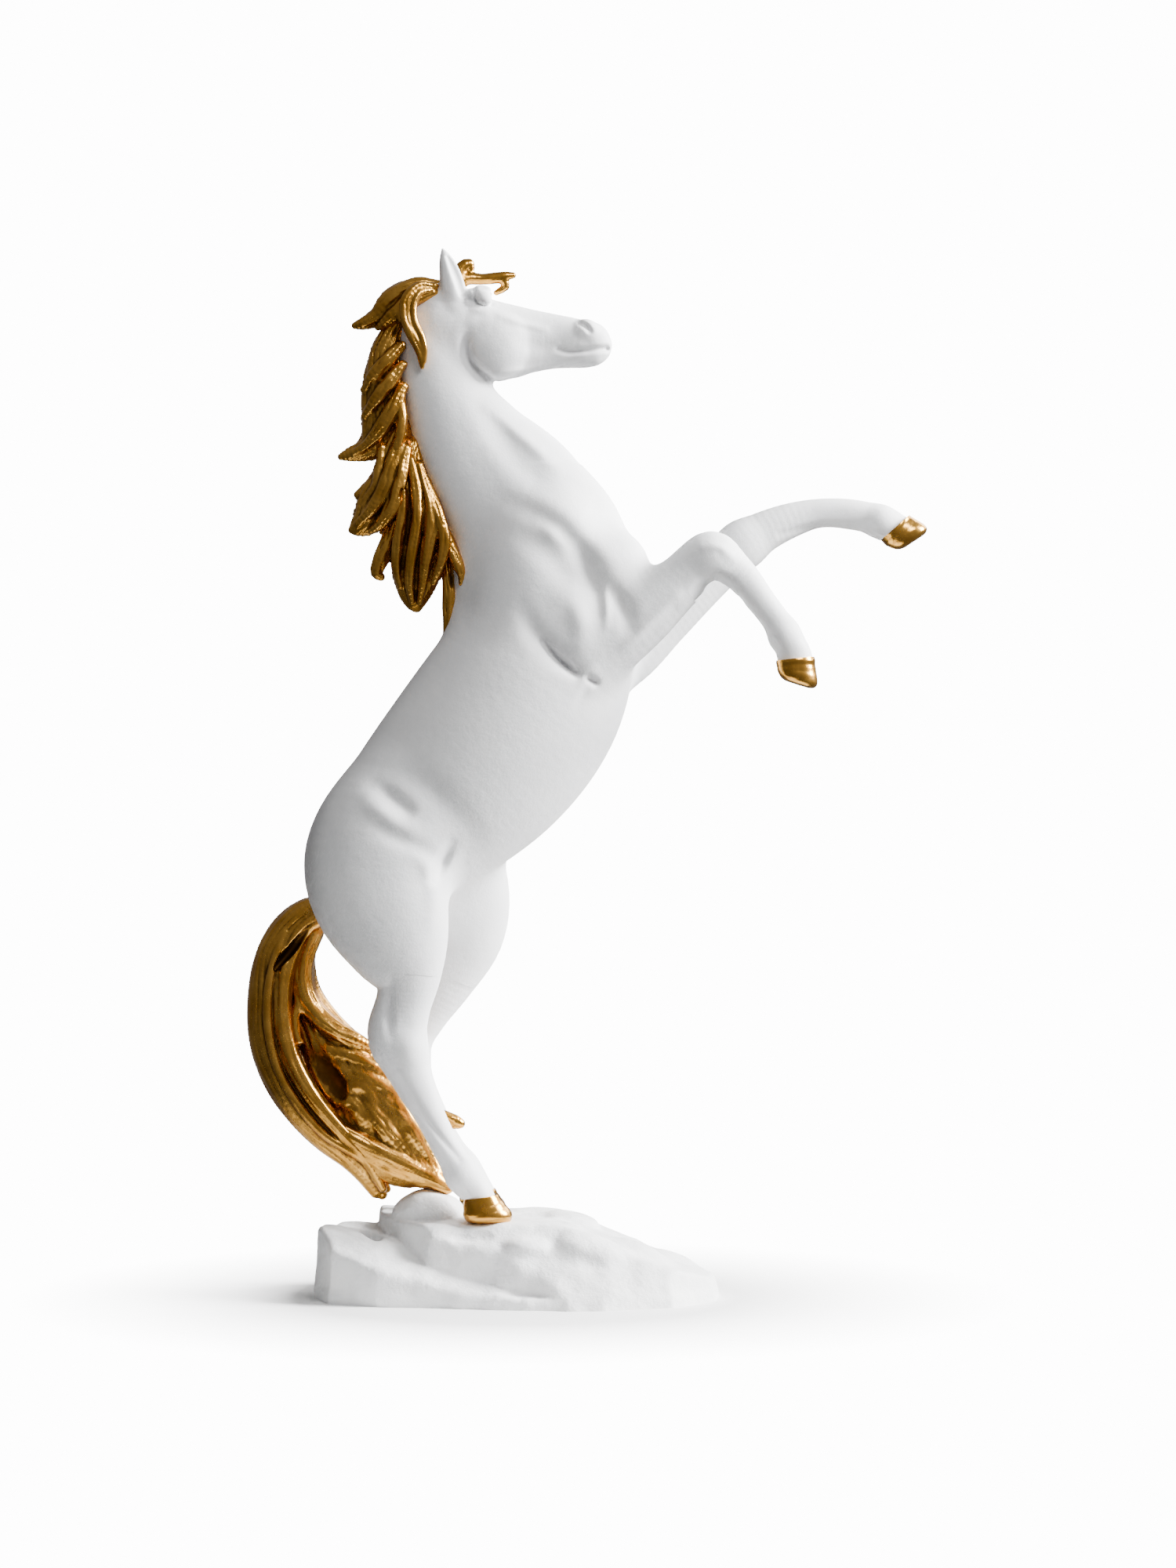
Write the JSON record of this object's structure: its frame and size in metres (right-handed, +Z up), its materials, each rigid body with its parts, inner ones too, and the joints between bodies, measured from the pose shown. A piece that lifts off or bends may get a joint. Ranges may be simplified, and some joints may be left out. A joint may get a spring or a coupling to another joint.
{
  "type": "rearing horse figurine",
  "caption": "Rearing horse ornament cast in white resin, with gold mane, tail and hooves, standing on a rock base.",
  "frame": {"origin": "centre of the base's underside, where the felt meets the table", "axes": "+Z up, +X the way the horse faces, +Y the horse's left side; the show side faces -Y"},
  "size_m": [0.247, 0.086, 0.3755],
  "materials": {
    "white_resin": "cast resin with a fine matt white paint, a little like bisque",
    "rock_resin": "cast resin rock, the same matt white paint, slightly rougher",
    "gold_paint": "cast resin with bright metallic gold paint, worn to brown in the grooves",
    "bright_steel": "zinc plated steel rod and fastenings, out of sight inside the castings",
    "dark_felt": "thin black felt, glued on"
  },
  "bodies": {
    "root": {"rock_base": "rock_resin", "base_felt": "dark_felt", "body_casting": "white_resin", "head_casting": "white_resin", "right_hind_leg": "white_resin", "left_hind_leg": "white_resin", "right_foreleg": "white_resin", "left_foreleg": "white_resin", "right_hind_hoof": "gold_paint", "left_hind_hoof": "gold_paint", "right_fore_hoof": "gold_paint", "left_fore_hoof": "gold_paint", "mane_crown": "gold_paint", "mane_side_curl": "gold_paint", "mane_upper": "gold_paint", "mane_middle": "gold_paint", "mane_lower": "gold_paint", "mane_withers": "gold_paint", "forelock": "gold_paint", "tail_outer": "gold_paint", "tail_inner": "gold_paint", "right_leg_rod": "bright_steel", "left_leg_rod": "bright_steel", "rod_washers": "bright_steel", "rod_nuts": "bright_steel", "neck_pin": "bright_steel", "foreleg_pins": "bright_steel", "mane_pins": "bright_steel", "tail_pin": "bright_steel"}
  },
  "joints": []
}
